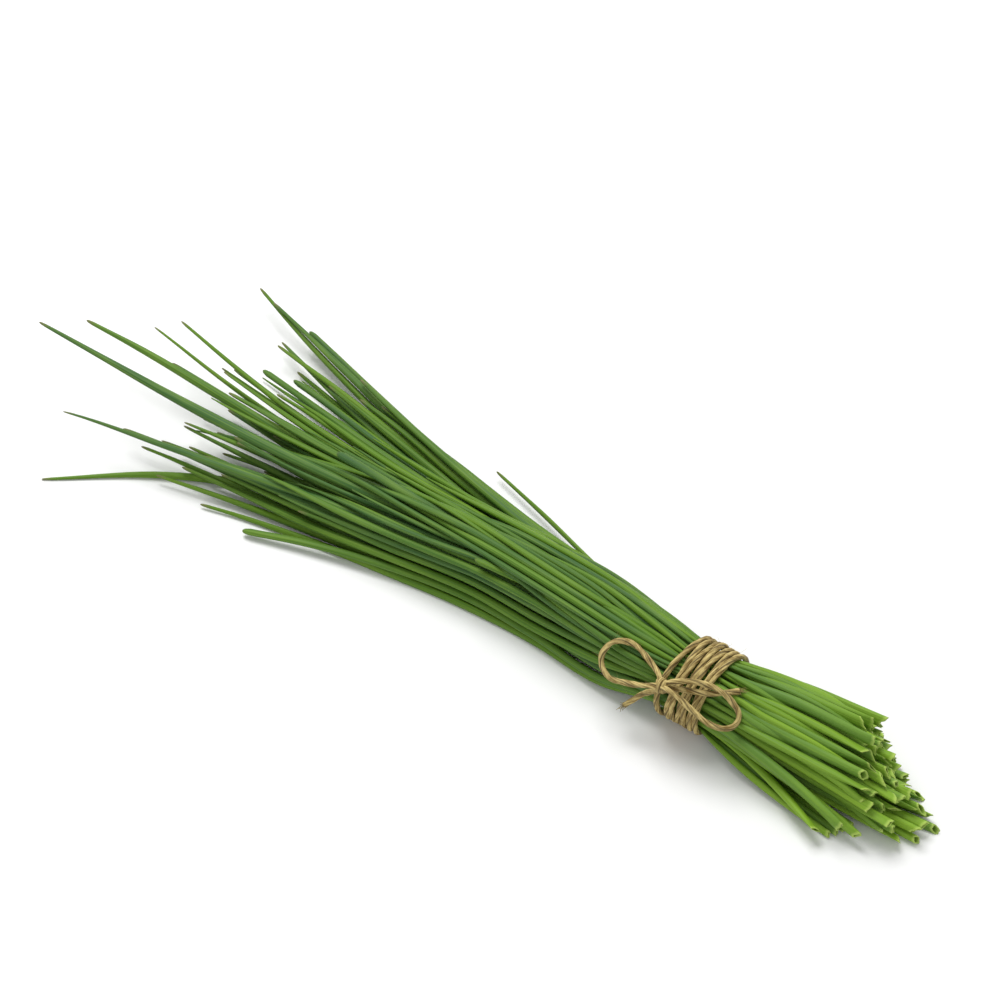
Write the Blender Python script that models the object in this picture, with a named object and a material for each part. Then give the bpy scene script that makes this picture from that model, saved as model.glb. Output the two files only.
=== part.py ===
"""A bunch of chives lying on a table: hollow leaves held by turns of jute twine that end in a bow.

The bunch lies along X, with its cut ends towards +X and its tips towards -X. Sizes are in millimetres,
measured from the middle of the tie at table height, and MM turns them into Blender's metres.
"""
import math
import random
from collections import namedtuple

import bmesh
import bpy
import numpy as np
from mathutils import Matrix, Vector

MM = 0.001

LEAF_COUNT = 54
LEAF_SIDES = 6
LEAF_GAP = 0.2  # least distance kept between two leaves
CUT_RADIUS = 1.32  # of a leaf at its cut end
TIED_RADIUS = 1.05  # of a leaf squeezed in the tie
TIP_RADIUS = 0.35
TAPER_SHARE = 0.25  # of a leaf's length, over which it narrows to its tip
TIP_ROUNDING = 2  # how far before its end a leaf starts to round off
TIP_ROUNDED = 0.6  # radius of the very end over that where the rounding starts
LEAF_WALL = 0.6
MOUTH_DEPTH = 5  # how far the hollow of a cut end is open
MOUTH_SLOPE = 0.5  # how far the rim of a cut end sinks inwards

TWINE = 1.5  # diameter
TWINE_GAP = 0.35  # between the leaves and the twine round them
TWINE_TURNS = 6.9
TWINE_PITCH = 1.68
TWINE_START = 235  # degrees round the tie, from its far side over the top
TWINE_STRAY = 1.3  # how far the first turn wanders from the others
WRAP_END_X = 6.1
KNOT_MIDDLE = (-5.3, -11.3, 19.0)
KNOT_HALF_SIZES = (2.1, 1.9, 2.2)
TIED_HALF_WIDTH = 10.1  # of the leaves in the tie
TIED_HALF_HEIGHT = 9.1
TIE_HEIGHT = TIED_HALF_HEIGHT + TWINE_GAP + TWINE  # of the middle of the tie above the table

# Leaves are laid out in sections across the bunch, from the cut ends to the tips
SECTIONS = np.array([70, 46, 24, 8.6, -8.6, -26, -46, -68, -92, -116, -140, -164, -188, -212.0])
TIE_SECTIONS = (3, 4)
FIRST_LOOSE_SECTION = 5

# The heap's outline beyond the tie: section, near side, far side, height
HEAP = ((5, -9.5, 16.5, 21.5), (6, -7, 23.5, 20.5), (7, -6.8, 27, 19), (8, -11, 30, 17), (9, -17, 34, 16))

Leaf = namedtuple("Leaf", "tip_x tip_y tip_z curl_y curl_z radius blunt")

# Leaves that stand out of the fan; a curl is how far the tip bends away from the leaf's own line
EDGE_LEAVES = [
    Leaf(-208, -8, 26, 0, 2, 1.50, False),
    Leaf(-205, 7, 15, -4, -8, 1.45, False),
    Leaf(-190, -22, 13, 3, 2, 1.25, False),
    Leaf(-187, -36, 1.3, -40, 0, 1.40, False),
    Leaf(-189, 16, 14, 3, 2, 1.00, False),
    Leaf(-183, 21, 16, 3, 4, 0.95, False),
    Leaf(-178, 49, 8, 6, 1, 1.30, False),
    Leaf(-171, 47, 8, 0, 0, 1.25, False),
    Leaf(-157, 44, 7, 0, 0, 1.05, True),
    Leaf(-162, 38, 5, 4, 0, 1.10, False),
    Leaf(-161, 35, 7, -3, 0, 1.10, False),
    Leaf(-153, 33, 3, 0, 0, 1.15, False),
    Leaf(-155, 21, 13, 0, 0, 1.00, True),
    Leaf(-145, 21, 15, 0, 0, 1.05, True),
    Leaf(-178, 10, 12, 0, 0, 1.10, False),
    Leaf(-163, 18, 11, 0, 0, 1.10, False),
    Leaf(-163, 14, 14, 0, 0, 1.00, False),
    Leaf(-176, -14, 8, 0, 0, 1.10, False),
    Leaf(-170, -14, 5, 0, 0, 1.20, False),
    Leaf(-161, -19, 4, -2, 0, 1.10, False),
    Leaf(-164, -3, 7, 0, 0, 1.10, False),
    Leaf(-155, -1, 4, 0, 0, 1.10, False),
    Leaf(-151, -4, 3, 0, 0, 1.10, False),
    Leaf(-140, -5, 2.5, 0, 0, 1.10, False),
    Leaf(-137, -3, 4, 0, 0, 1.10, False),
    Leaf(-146, -19.5, 2.5, -2, 0, 1.20, False),
    Leaf(-131, -20.5, 2, -3, 0, 1.05, True),
    Leaf(-117, 3, 19, 0, 0, 1.20, True),
    Leaf(-87, 34.5, 3.5, -3, 0, 0.80, False),
    Leaf(-67, -3, 20, 0, 0, 1.05, True),
]

# The twine beyond the knot, point by point
BOW = {
    "bow_loop_left": [
        (-7.4, -9.3, 19.7), (-9.0, -8.3, 19.8), (-10.7, -7.5, 19.9), (-12.5, -6.8, 20.1),
        (-14.2, -6.1, 20.3), (-16.0, -5.6, 20.5), (-17.9, -5.4, 20.6), (-19.7, -5.7, 20.5),
        (-21.4, -6.4, 20.2), (-22.7, -7.4, 19.6), (-23.4, -8.8, 18.7), (-23.6, -10.3, 17.7),
        (-23.1, -11.6, 16.6), (-22.0, -12.7, 15.7), (-20.6, -13.4, 15.0), (-18.8, -13.8, 14.6),
        (-17.0, -13.6, 14.7), (-15.1, -13.2, 15.1), (-13.3, -12.9, 15.5), (-11.4, -12.6, 16.2),
        (-9.6, -12.4, 17.1), (-8.0, -12.2, 18.0),
    ],
    "bow_tail_left": [
        (-6.9, -11.6, 16.1), (-8.2, -11.7, 14.8), (-9.6, -11.9, 13.4), (-10.9, -12.3, 11.8),
        (-12.0, -13.0, 10.3), (-13.0, -13.9, 9.1), (-13.8, -14.9, 8.3),
    ],
    "bow_loop_right": [
        (-3.1, -10.4, 21.2), (-2.0, -9.8, 21.7), (-0.5, -8.9, 22.0), (1.1, -8.2, 22.3),
        (2.8, -7.5, 22.4), (4.5, -7.1, 22.5), (6.2, -6.7, 22.5), (8.0, -6.5, 22.4),
        (9.8, -6.4, 21.9), (11.3, -6.4, 21.1), (12.9, -6.7, 20.2), (14.4, -7.1, 19.3),
        (15.4, -8.1, 18.3), (15.5, -9.4, 17.1), (14.7, -10.7, 16.3), (13.2, -11.7, 15.9),
        (11.5, -12.2, 15.8), (9.8, -12.5, 16.0), (8.0, -12.6, 16.4), (6.4, -12.5, 16.9),
        (4.7, -12.4, 17.5), (3.0, -12.3, 18.1), (1.4, -12.2, 18.8), (-0.3, -12.2, 19.5),
        (-2.6, -12.3, 20.2),
    ],
    "bow_tail_right": [
        (-2.7, -10.6, 19.1), (-0.9, -9.9, 19.5), (1.8, -9.1, 19.9), (4.4, -8.3, 20.3),
        (6.9, -7.1, 20.4), (9.0, -5.5, 20.6), (11.1, -3.8, 20.8), (12.2, -2.9, 20.9),
    ],
}

# From the tie to the cut ends the leaves spread
CUT_MIDDLE_X = 62
CUT_SPREAD = (1.72, 1.28)  # across and up, over their places in the tie
CUT_SHIFT = 3.9  # across
CUT_RISE = 2.4
NEAR_SIDE_DROOP = 0.3  # how much less a leaf rises for each millimetre that it lies on the near side
SPREAD_POWER = 1.35
HIGHEST_EXTRA = 1  # how much further the highest leaf reaches than the cut's slant has it
LOW_SIDE_TILT = 0.3  # how much a millimetre across counts against one of height when the leaves are ranked

# The lowest leaves on the near side stray from the others: where each would be at CUT_MIDDLE_X, how
# sharply it bends away, and where it was cut
Stray = namedtuple("Stray", "y z power cut_x")
STRAYS = (Stray(-27.0, 1.3, 2.2, 44.5), Stray(-17.0, 1.3, 1.75, 49.5), Stray(-13.6, 1.3, 1.5, 53.5))

# The cut's slant: how far a leaf on the table in the middle reaches, and how much less the others do
LONGEST_CUT_X = 70
SHORTER_UPWARD = 1.28
SHORTER_FAR_SIDE = 1.6  # at table height, and nothing from the level height up
FAR_LEVEL_HEIGHT = 24
SHORTER_NEAR_SIDE = 3
NEAR_LEVEL_HEIGHT = 9
NEAR_SIDE_Y = -4.5  # beyond which the near side is cut shorter

FAN_COLUMNS = 9
FAN_ORDER_X = 150  # how far out the leaves' order across the fan is read
SHUFFLE_ACROSS, SHUFFLE_UP = 4, 2.5

SETTLE_STEPS = 1500
SOFT_SHARE = 0.45  # of the steps, in which leaves also bend, sink and seek their tips
SHAPED_SHARE = 0.8  # of the steps, in which the heap's outline holds
HELD_FROM = 0.55  # of a leaf's length, where it starts to seek its tip
EDGE_HOLD, INNER_HOLD, STRAY_HOLD = 0.03, 0.006, 0.05
LEAST_SMOOTHING, SOFT_SMOOTHING = 0.05, 0.3
HEAP_PULL, SOFT_HEAP_PULL = 0.1, 0.35
PUSH_SHARE = 0.31  # of a clash, undone at each end of its span in a step
SQUEEZE_ROUNDS = 40
SQUEEZE_SHARE = 0.6
DEEPEST_CLASH = 0.001  # that is let be
HEAPED_UP_TO = 0.72  # of a leaf's length, which the heap's outline holds in
SINK, CUT_SINK = 0.03, 0.015  # a step, beyond the tie and at the cut ends


def inner_leaf(number, rng):
    """A leaf inside the fan; every sixth one belongs to the spray on the far side."""
    if number % 6 == 0:
        tip_x = rng.uniform(-150, -120)
        tip_y = rng.uniform(30, 37)
    else:
        tip_x = rng.uniform(-170, -118)
        tip_y = rng.uniform(-13, 21)
    return Leaf(tip_x, tip_y, rng.uniform(3, 14), rng.uniform(-3, 3), 0, rng.uniform(1.15, 1.45), False)


def tied_places(leaves, rng):
    """Each leaf's place in the tie: a sunflower pattern in the ellipse, dealt out in the order of the tips."""
    count = len(leaves)
    number = np.arange(count)
    outward = np.sqrt((number + 0.5) / count)
    turn = number * math.pi * (3 - math.sqrt(5))
    across = outward * np.cos(turn) * (TIED_HALF_WIDTH - TIED_RADIUS)
    up = outward * np.sin(turn) * (TIED_HALF_HEIGHT - TIED_RADIUS)
    slopes = [(leaf.curl_y - leaf.tip_y) / leaf.tip_x for leaf in leaves]
    fan_order = np.argsort([slope * FAN_ORDER_X + rng.gauss(0, SHUFFLE_ACROSS) for slope in slopes])
    heights = np.array([leaf.tip_z + rng.gauss(0, SHUFFLE_UP) for leaf in leaves])
    places = np.zeros((count, 2))
    columns = zip(np.split(fan_order, FAN_COLUMNS), np.split(np.argsort(across), FAN_COLUMNS))
    for dealt, slots in columns:
        dealt = dealt[np.argsort(heights[dealt])]
        slots = slots[np.argsort(up[slots])]
        places[dealt] = np.stack([across[slots], TIE_HEIGHT + up[slots]], axis=1)
    return places


def first_lines(leaves, places, strays):
    """The line that each leaf would take on its own: (leaf, section, across and up)."""
    lines = np.zeros((len(leaves), len(SECTIONS), 2))
    for i, leaf in enumerate(leaves):
        place = places[i]
        rise = CUT_RISE - NEAR_SIDE_DROOP * max(-place[0], 0)
        cut = np.array([0, TIE_HEIGHT]) + CUT_SPREAD * (place - [0, TIE_HEIGHT]) + [CUT_SHIFT, rise]
        power = SPREAD_POWER
        if i in strays:
            cut = np.array([strays[i].y, strays[i].z])
            power = strays[i].power
        for s, x in enumerate(SECTIONS):
            if x >= 0:
                lines[i, s] = place + (cut - place) * (x / CUT_MIDDLE_X) ** power
                continue
            along = min(x / leaf.tip_x, 1.2)
            line_y = leaf.tip_y - leaf.curl_y
            share = along ** np.interp(line_y, [-20, 0, 20, 50], [2.6, 1.7, 1.3, 1.05])
            sag = 1 - 0.3 * math.sin(min(along, 1) * math.pi) * min(-x / 60, 1)
            straight_z = place[1] * (1 - along) + (leaf.tip_z - leaf.curl_z) * along
            lines[i, s, 0] = place[0] * (1 - share) + line_y * share + leaf.curl_y * along**4
            lines[i, s, 1] = (straight_z + leaf.curl_z * along**4) * sag if along <= 1 else leaf.tip_z
    return lines


def section_radii(leaves):
    radii = np.zeros((len(leaves), len(SECTIONS)))
    for i, leaf in enumerate(leaves):
        for s, x in enumerate(SECTIONS):
            to_tip = max(1 - x / leaf.tip_x, 0)
            if s in TIE_SECTIONS:
                radius = min(leaf.radius, TIED_RADIUS)
            elif x > 0:
                radius = CUT_RADIUS
            elif leaf.blunt:
                radius = leaf.radius
            else:
                radius = leaf.radius * math.sqrt(min(to_tip / TAPER_SHARE, 1))
            radii[i, s] = max(radius, TIP_RADIUS)
    return radii


def present_sections(leaves):
    """Which sections each leaf crosses, with the one just past its tip."""
    present = np.zeros((len(leaves), len(SECTIONS)), bool)
    for i, leaf in enumerate(leaves):
        present[i, : np.sum(SECTIONS > leaf.tip_x) + 1] = True
    return present


class Clashes:
    """Pairs of leaves that come too close anywhere between two neighbouring sections."""

    def __init__(self, present):
        self.first, self.second = np.triu_indices(len(present), 1)
        spans = present[:, :-1] & present[:, 1:]
        self.both = spans[self.first] & spans[self.second]

    def measure(self, lines, radii):
        """How deep each clash is, which way it pushes, and where in the span it lies, from 0 to 1."""
        apart = lines[self.second] - lines[self.first]
        near, far = apart[:, :-1], apart[:, 1:]
        change = far - near
        at = np.clip(-(near * change).sum(-1) / ((change**2).sum(-1) + 1e-9), 0, 1)
        closest = near + at[..., None] * change
        distance = np.sqrt((closest**2).sum(-1)) + 1e-9
        room = radii[self.first] + radii[self.second] + LEAF_GAP
        needed = room[:, :-1] * (1 - at) + room[:, 1:] * at
        depth = np.where(self.both, np.maximum(needed - distance, 0), 0)
        return depth, closest / distance[..., None], at

    def push(self, lines, radii):
        depth, way, at = self.measure(lines, radii)
        step = (PUSH_SHARE * depth / ((1 - at) ** 2 + at**2))[..., None] * way
        near_step, far_step = step * (1 - at)[..., None], step * at[..., None]
        for index, sign in ((self.first, -1), (self.second, 1)):
            np.add.at(lines[:, :-1], index, sign * near_step)
            np.add.at(lines[:, 1:], index, sign * far_step)

    def squeeze(self, lines, radii):
        """Thins leaves where they still press on each other."""
        for _ in range(SQUEEZE_ROUNDS):
            depth, _, _ = self.measure(lines, radii)
            if depth.max() < DEEPEST_CLASH:
                break
            thinner = np.zeros_like(radii)
            for index in (self.first, self.second):
                np.maximum.at(thinner[:, :-1], index, depth / 2)
                np.maximum.at(thinner[:, 1:], index, depth / 2)
            radii -= SQUEEZE_SHARE * thinner


def pull_inside(points, centre, half_sizes, strength=1.0):
    """Moves the points that lie outside an ellipse towards its edge."""
    offset = points - centre
    outside = np.maximum(np.sqrt(((offset / half_sizes) ** 2).sum(-1)), 1)[:, None]
    points += strength * (offset / outside - offset)


def smooth(lines, wanted, present, strength):
    """Evens out how far each leaf has moved from its own line, so that it bends gently."""
    moved = lines - wanted
    ahead = SECTIONS[:-2] - SECTIONS[1:-1]
    behind = SECTIONS[1:-1] - SECTIONS[2:]
    share = (behind / (ahead + behind))[None, :, None]
    even = moved.copy()
    even[:, 1:-1] = share * moved[:, :-2] + (1 - share) * moved[:, 2:]
    inner = np.zeros_like(present)
    inner[:, 1:-1] = present[:, :-2] & present[:, 2:]
    lines += strength * (even - moved) * inner[..., None]


def settle(leaves, lines, radii, present, strays):
    """Lets the leaves push each other apart, above the table and inside the tie and the heap."""
    wanted = lines.copy()
    clashes = Clashes(present)
    along = SECTIONS[None, :] / np.array([leaf.tip_x for leaf in leaves])[:, None]
    held = np.where(np.arange(len(leaves)) < len(EDGE_LEAVES), EDGE_HOLD, INNER_HOLD)
    pull = np.where(along > HELD_FROM, held[:, None], 0)
    pull[list(strays), : TIE_SECTIONS[0]] = STRAY_HOLD
    lowest = radii * math.cos(math.pi / LEAF_SIDES)
    for step in range(SETTLE_STEPS):
        softness = max(0, 1 - step / (SOFT_SHARE * SETTLE_STEPS))
        if softness or (step % 8 == 0 and step < SHAPED_SHARE * SETTLE_STEPS):
            smooth(lines, wanted, present, LEAST_SMOOTHING + SOFT_SMOOTHING * softness)
        lines += softness * pull[..., None] * (wanted - lines)
        lines[:, FIRST_LOOSE_SECTION + 1 :, 1] -= SINK * softness
        lines[:, : TIE_SECTIONS[0], 1] -= CUT_SINK * softness
        if step < SHAPED_SHARE * SETTLE_STEPS:
            for s, near, far, top in HEAP:
                inside = along[:, s] < HEAPED_UP_TO
                half_sizes = np.stack([(far - near) / 2 - radii[inside, s], top - radii[inside, s]], axis=1)
                heap = lines[inside, s]
                strength = SOFT_HEAP_PULL if softness else HEAP_PULL
                pull_inside(heap, np.array([(near + far) / 2, 0]), half_sizes, strength)
                lines[inside, s] = heap
        clashes.push(lines, radii)
        lines[..., 1] = np.maximum(lines[..., 1], lowest)
        for s in TIE_SECTIONS:
            half_sizes = np.array([TIED_HALF_WIDTH, TIED_HALF_HEIGHT]) - radii[:, s, None]
            pull_inside(lines[:, s], np.array([0, TIE_HEIGHT]), half_sizes)
    clashes.squeeze(lines, radii)


def cut_x_of(y, z, rng):
    """Where a leaf was cut: the bunch was trimmed aslant, its lower leaves the longest."""
    far_side = SHORTER_FAR_SIDE * max(1 - z / FAR_LEVEL_HEIGHT, 0) * max(y, 0)
    near_side = SHORTER_NEAR_SIDE * max(1 - z / NEAR_LEVEL_HEIGHT, 0) * max(NEAR_SIDE_Y - y, 0)
    return LONGEST_CUT_X - SHORTER_UPWARD * z - far_side - near_side + rng.gauss(0, 1)


def leaf_rings(leaf, line, radii, cut_x):
    """(centre, radius) of each ring, from the cut end to the tip."""
    rounding_x = leaf.tip_x + TIP_ROUNDING
    inside = (SECTIONS < cut_x - 0.5) & (SECTIONS > rounding_x + 0.5)
    xs = [cut_x, *SECTIONS[inside], rounding_x, leaf.tip_x]
    ys = np.interp(xs, SECTIONS[::-1], line[::-1, 0])
    zs = np.interp(xs, SECTIONS[::-1], line[::-1, 1])
    sizes = np.interp(xs, SECTIONS[::-1], radii[::-1])
    sizes[-1] = sizes[-2] * TIP_ROUNDED
    return [(Vector((x, y, z)), size) for x, y, z, size in zip(xs, ys, zs, sizes)]


def ring_edges(bm, centre, radius):
    """A six-sided ring across X, with a flat side down."""
    place = Matrix.Translation(centre * MM) @ Matrix.Rotation(math.pi / 2, 4, "Y")
    verts = bmesh.ops.create_circle(bm, segments=LEAF_SIDES, radius=radius * MM, matrix=place)["verts"]
    return list({edge for vert in verts for edge in vert.link_edges})


def leaf_mesh(name, rings):
    """A tube through the rings, open at its cut end as far as the hollow goes."""
    mouth, size = rings[0]
    inward = (rings[1][0] - mouth).normalized()
    hollow = [(mouth + inward * depth, size - LEAF_WALL) for depth in (MOUTH_DEPTH, MOUTH_SLOPE)]
    bm = bmesh.new()
    loops = [ring_edges(bm, centre, radius) for centre, radius in hollow + rings]
    for near, far in zip(loops, loops[1:]):
        bmesh.ops.bridge_loops(bm, edges=near + far)
    bmesh.ops.holes_fill(bm, edges=loops[0] + loops[-1], sides=LEAF_SIDES)
    bmesh.ops.recalc_face_normals(bm, faces=bm.faces[:])
    mesh = bpy.data.meshes.new(name)
    bm.to_mesh(mesh)
    bm.free()
    return mesh


def material(name, colour, roughness):
    made = bpy.data.materials.new(name)
    made.use_nodes = True
    shader = made.node_tree.nodes["Principled BSDF"]
    shader.inputs["Base Color"].default_value = (*colour, 1)
    shader.inputs["Roughness"].default_value = roughness
    return made


def add_object(name, data, parent, collection, finish):
    made = bpy.data.objects.new(name, data)
    made.parent = parent
    data.materials.append(finish)
    collection.objects.link(made)
    return made


def add_leaves(parent, collection):
    rng = random.Random(7)
    leaves = EDGE_LEAVES + [inner_leaf(number, rng) for number in range(len(EDGE_LEAVES), LEAF_COUNT)]
    places = tied_places(leaves, rng)
    lowest_near = np.argsort(places[:, 0] + LOW_SIDE_TILT * places[:, 1])
    strays = dict(zip(lowest_near.tolist(), STRAYS))
    lines = first_lines(leaves, places, strays)
    radii = section_radii(leaves)
    settle(leaves, lines, radii, present_sections(leaves), strays)
    highest = int(np.argmax(lines[:, 1, 1] + LOW_SIDE_TILT * lines[:, 1, 0]))
    for i, leaf in enumerate(leaves):
        y, z = lines[i, 1]
        cut_x = cut_x_of(y, z, rng)
        if i in strays:
            cut_x = strays[i].cut_x
        if i == highest:
            cut_x += HIGHEST_EXTRA
        rings = leaf_rings(leaf, lines[i], radii[i], cut_x)
        name = f"chive_leaf_{i + 1:02d}"
        finish = material(name, (0.10 + 0.04 * rng.random(), 0.22 + 0.06 * rng.random(), 0.03), 0.42)
        add_object(name, leaf_mesh(name, rings), parent, collection, finish)


def cord_object(name, points, parent, collection, finish):
    """A round cord through points in millimetres."""
    curve = bpy.data.curves.new(name, "CURVE")
    curve.dimensions = "3D"
    curve.bevel_depth = TWINE / 2 * MM
    curve.bevel_resolution = 2
    curve.use_fill_caps = True
    spline = curve.splines.new("POLY")
    spline.points.add(len(points) - 1)
    for point, place in zip(spline.points, points):
        point.co = (*(Vector(place) * MM), 1)
    return add_object(name, curve, parent, collection, finish)


def wrap_points():
    """The turns round the tie, which start and end under the bunch."""
    steps_a_turn = 20
    half_width = TIED_HALF_WIDTH + TWINE_GAP + TWINE / 2
    half_height = TIED_HALF_HEIGHT + TWINE_GAP + TWINE / 2
    points = []
    for step in range(round(TWINE_TURNS * steps_a_turn) + 1):
        turned = step / steps_a_turn
        angle = math.radians(TWINE_START - 360 * turned)
        stray = TWINE_STRAY * math.sin(math.pi * min(turned / 0.9, 1))
        x = WRAP_END_X - (TWINE_TURNS - turned) * TWINE_PITCH - stray
        points.append((x, half_width * math.cos(angle), TIE_HEIGHT + half_height * math.sin(angle)))
    return points


def knot_mesh():
    place = Matrix.Translation(Vector(KNOT_MIDDLE) * MM) @ Matrix.Diagonal((*(Vector(KNOT_HALF_SIZES) * MM), 1))
    bm = bmesh.new()
    bmesh.ops.create_icosphere(bm, subdivisions=2, radius=1, matrix=place)
    mesh = bpy.data.meshes.new("bow_knot")
    bm.to_mesh(mesh)
    bm.free()
    return mesh


def stand_on_origin(root, objects):
    """Moves everything so that the middle of the bunch's box stands on the origin."""
    bpy.context.view_layer.update()
    graph = bpy.context.evaluated_depsgraph_get()
    corners = []
    for made in objects:
        mesh = made.evaluated_get(graph).to_mesh()
        corners += [made.matrix_world @ vert.co for vert in mesh.vertices]
        made.evaluated_get(graph).to_mesh_clear()
    lowest = Vector(map(min, zip(*corners)))
    highest = Vector(map(max, zip(*corners)))
    middle = (lowest + highest) / 2
    root.location = -Vector((middle.x, middle.y, lowest.z))
    bpy.context.view_layer.update()


def main():
    for leftover in list(bpy.data.objects):
        bpy.data.objects.remove(leftover)
    bunch = bpy.data.collections.new("chive_bunch")
    bpy.context.scene.collection.children.link(bunch)
    root = bpy.data.objects.new("tie_middle", None)
    bunch.objects.link(root)
    add_leaves(root, bunch)
    jute = material("jute", (0.30, 0.21, 0.09), 0.9)
    cord_object("twine_wrap", wrap_points(), root, bunch, jute)
    add_object("bow_knot", knot_mesh(), root, bunch, jute)
    for name, points in BOW.items():
        cord_object(name, points, root, bunch, jute)
    stand_on_origin(root, [made for made in bunch.objects if made.type != "EMPTY"])


main()
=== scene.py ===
import math
import random

import bmesh
import bpy
import numpy as np
from mathutils import Matrix, Vector


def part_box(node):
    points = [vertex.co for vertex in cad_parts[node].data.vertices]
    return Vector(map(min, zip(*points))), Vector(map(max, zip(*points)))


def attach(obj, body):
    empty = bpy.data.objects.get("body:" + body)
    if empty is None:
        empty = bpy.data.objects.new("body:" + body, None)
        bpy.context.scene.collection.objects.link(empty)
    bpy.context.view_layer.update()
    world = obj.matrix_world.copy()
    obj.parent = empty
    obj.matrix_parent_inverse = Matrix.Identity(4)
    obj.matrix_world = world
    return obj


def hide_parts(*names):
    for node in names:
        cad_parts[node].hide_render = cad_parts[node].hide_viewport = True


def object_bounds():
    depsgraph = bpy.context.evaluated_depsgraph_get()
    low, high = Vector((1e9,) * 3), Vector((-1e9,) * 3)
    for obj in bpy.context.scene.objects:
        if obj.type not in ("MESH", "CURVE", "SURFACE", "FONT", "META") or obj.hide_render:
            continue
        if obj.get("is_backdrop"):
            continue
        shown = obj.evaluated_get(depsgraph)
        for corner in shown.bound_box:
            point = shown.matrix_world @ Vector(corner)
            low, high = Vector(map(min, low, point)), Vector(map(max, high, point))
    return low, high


mm = 0.001
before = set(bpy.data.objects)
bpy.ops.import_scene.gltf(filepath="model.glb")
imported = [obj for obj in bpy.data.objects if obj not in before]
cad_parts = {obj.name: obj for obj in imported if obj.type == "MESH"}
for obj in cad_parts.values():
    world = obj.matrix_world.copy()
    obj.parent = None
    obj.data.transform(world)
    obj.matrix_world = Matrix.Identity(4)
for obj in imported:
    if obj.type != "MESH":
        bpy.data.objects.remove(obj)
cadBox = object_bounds()
chance = random.Random(11)
print("frame loaded")

knotMiddle = Vector((-5.3, -11.3, 19.0))  # in mm from the middle of the tie
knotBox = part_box("bow_knot")
tieMiddle = (Vector(knotBox[0]) + Vector(knotBox[1])) / 2 - knotMiddle * mm


def fromTie(points):
    return np.array([tieMiddle + Vector(point) * mm for point in points])


# camera
camera = {
    "azimuth": 34.8,
    "elevation": 50.0,
    "distance": 0.9,
    "lens": 123.0,
    "sensor": 36,
    "target": (-76.5, 20.9, 11.0),
}
turn, rise = math.radians(camera["azimuth"]), math.radians(camera["elevation"])
back = Vector((math.sin(turn) * math.cos(rise), -math.cos(turn) * math.cos(rise), math.sin(rise)))
right = Vector((math.cos(turn), math.sin(turn), 0))
up = back.cross(right)
seenFrom = Vector(fromTie([camera["target"]])[0]) + back * camera["distance"]
cameraData = bpy.data.cameras.new("camera")
cameraData.lens = camera["lens"]
cameraData.sensor_width = camera["sensor"]
cameraData.clip_start = 10 * mm
cameraObject = bpy.data.objects.new("camera", cameraData)
cameraObject.matrix_world = Matrix.Translation(seenFrom) @ Matrix((right, up, back)).transposed().to_4x4()
bpy.context.scene.collection.objects.link(cameraObject)
bpy.context.scene.camera = cameraObject
print("camera placed")


# shared tools
def smoothThrough(keys, values, at):
    slopes = np.gradient(values, keys, axis=0)
    span = np.clip(np.searchsorted(keys, at) - 1, 0, len(keys) - 2)
    width = (keys[span + 1] - keys[span])[:, None]
    t = (at - keys[span])[:, None] / width
    near, far = values[span], values[span + 1]
    bend = slopes[span] * width * (t**3 - 2 * t**2 + t) + slopes[span + 1] * width * (t**3 - t**2)
    return near * (2 * t**3 - 3 * t**2 + 1) + far * (3 * t**2 - 2 * t**3) + bend


def lengthsAlong(line):
    return np.concatenate([[0], np.cumsum(np.linalg.norm(np.diff(line, axis=0), axis=1))])


def evenLine(points, step, finer=12):
    keys = lengthsAlong(points)
    fine = smoothThrough(keys, points, np.linspace(0, keys[-1], len(points) * finer))
    lengths = lengthsAlong(fine)
    at = np.linspace(0, lengths[-1], int(lengths[-1] / step) + 2)
    return np.stack([np.interp(at, lengths, fine[:, axis]) for axis in range(3)], axis=1)


def sidesAlong(line):
    ahead = np.gradient(line, axis=0)
    ahead /= np.linalg.norm(ahead, axis=1)[:, None]
    sides = np.zeros_like(line)
    side = np.cross(ahead[0], (0, 0, 1))
    for row, direction in enumerate(ahead):
        side = side - direction * side.dot(direction)
        side /= np.linalg.norm(side)
        sides[row] = side
    return ahead, sides, np.cross(ahead, sides)


# place gives each vertex its spot and one mark for each of the layers
def gridTube(bm, sides, rows, layers, place):
    bm.loops.layers.uv.verify()
    made = bmesh.ops.create_grid(bm, x_segments=sides, y_segments=rows - 1, size=1, calc_uvs=True)["verts"]
    for vert in made:
        around, row = (vert.co.x + 1) / 2, round((vert.co.y + 1) / 2 * (rows - 1))
        spot, *marks = place(around, row)
        vert.co = spot
        for layer, mark in zip(layers, marks):
            vert[layer] = mark
    bmesh.ops.remove_doubles(bm, verts=made, dist=1e-7)


def finishMesh(bm, name, finish):
    bmesh.ops.recalc_face_normals(bm, faces=bm.faces[:])
    for face in bm.faces:
        face.smooth = True
    mesh = bpy.data.meshes.new(name)
    bm.to_mesh(mesh)
    bm.free()
    mesh.materials.append(finish)
    made = bpy.data.objects.new(name, mesh)
    bpy.context.scene.collection.objects.link(made)
    return made


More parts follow.
